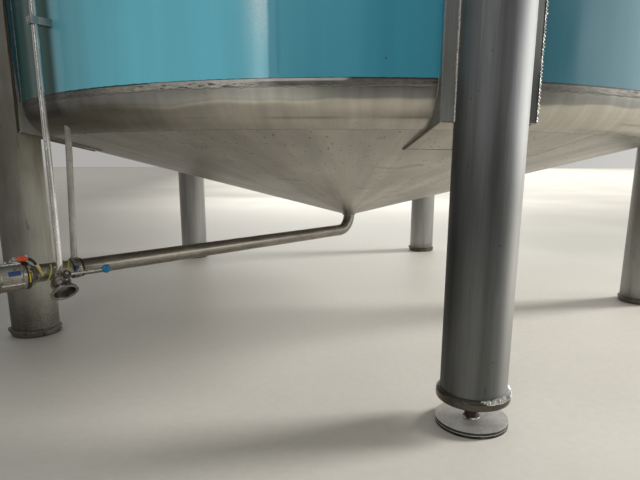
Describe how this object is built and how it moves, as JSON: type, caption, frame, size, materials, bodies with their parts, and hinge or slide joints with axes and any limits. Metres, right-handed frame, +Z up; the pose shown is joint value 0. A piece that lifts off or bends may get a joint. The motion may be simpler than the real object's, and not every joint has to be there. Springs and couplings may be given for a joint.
{
  "type": "vertical storage tank",
  "caption": "Vertical storage tank: painted steel shell with a shallow cone bottom and roof, on tubular legs with levelling feet, with a drain line, lever valves and a level tube",
  "frame": {"origin": "on the floor, under the middle of the part's box; the tank's own axis is 78.75 mm from it along +Y", "axes": "+Z up; the front leg stands towards -Y; the drain line leaves to the left and forwards"},
  "size_m": [3.7814, 3.8074, 7.7625],
  "materials": {
    "shell_paint": "semi-gloss teal paint on steel plate",
    "cone_steel": "warm grey stainless plate, brushed along the radius",
    "rolled_steel": "dull rolled stainless plate with weld stains",
    "leg_steel": "ground stainless pipe with streaks",
    "bracket_steel": "dull stainless plate",
    "foot_steel": "dull grey stainless disc",
    "pipe_steel": "ground stainless tube",
    "tube_steel": "bright drawn stainless tube",
    "valve_steel": "satin cast and turned stainless",
    "clip_steel": "light grey clip",
    "lever_grip": "orange plastic grip"
  },
  "bodies": {
    "tank": {"bottom_knuckle": "rolled_steel", "bottom_cone": "cone_steel", "shell_course_1": "shell_paint", "shell_course_2": "shell_paint", "shell_course_3": "shell_paint", "shell_course_4": "shell_paint", "roof_knuckle": "rolled_steel", "roof_cone": "cone_steel", "manway_neck": "cone_steel", "manway_lid": "cone_steel", "roof_vent": "tube_steel", "lifting_lug_1": "bracket_steel", "lifting_lug_2": "bracket_steel", "lifting_lug_3": "bracket_steel", "leg_1": "leg_steel", "leg_1_bracket": "bracket_steel", "leg_1_end_plate": "leg_steel", "leg_1_foot": "foot_steel", "leg_2": "leg_steel", "leg_2_bracket": "bracket_steel", "leg_2_end_plate": "leg_steel", "leg_3": "leg_steel", "leg_3_bracket": "bracket_steel", "leg_3_end_plate": "leg_steel", "leg_4": "leg_steel", "leg_4_bracket": "bracket_steel", "leg_4_end_plate": "leg_steel", "leg_5": "leg_steel", "leg_5_bracket": "bracket_steel", "leg_5_end_plate": "leg_steel", "drain_pipe": "pipe_steel", "drain_hanger": "pipe_steel", "drain_valve_body": "valve_steel", "branch_valve_body": "valve_steel", "level_tube": "tube_steel", "level_tube_lower_bend": "tube_steel", "level_tube_upper_bend": "tube_steel", "level_tube_clip_1": "clip_steel", "level_tube_clip_2": "clip_steel", "level_tube_clip_3": "clip_steel", "level_tube_clip_4": "clip_steel"},
    "drain_lever": {"drain_valve_lever": "lever_grip"},
    "branch_lever": {"branch_valve_lever": "valve_steel"}
  },
  "joints": [
    {"name": "drain_lever_turn", "type": "hinge", "parent": "tank", "child": "drain_lever", "pos_m": [-1.60129, -1.1411, 0.497], "axis": [0, 0, -1], "range_deg": [0, 90]},
    {"name": "branch_lever_turn", "type": "hinge", "parent": "tank", "child": "branch_lever", "pos_m": [-1.42127, -1.13649, 0.42486], "axis": [-0.4432, 0.5818, -0.682], "range_deg": [0, 90]}
  ]
}
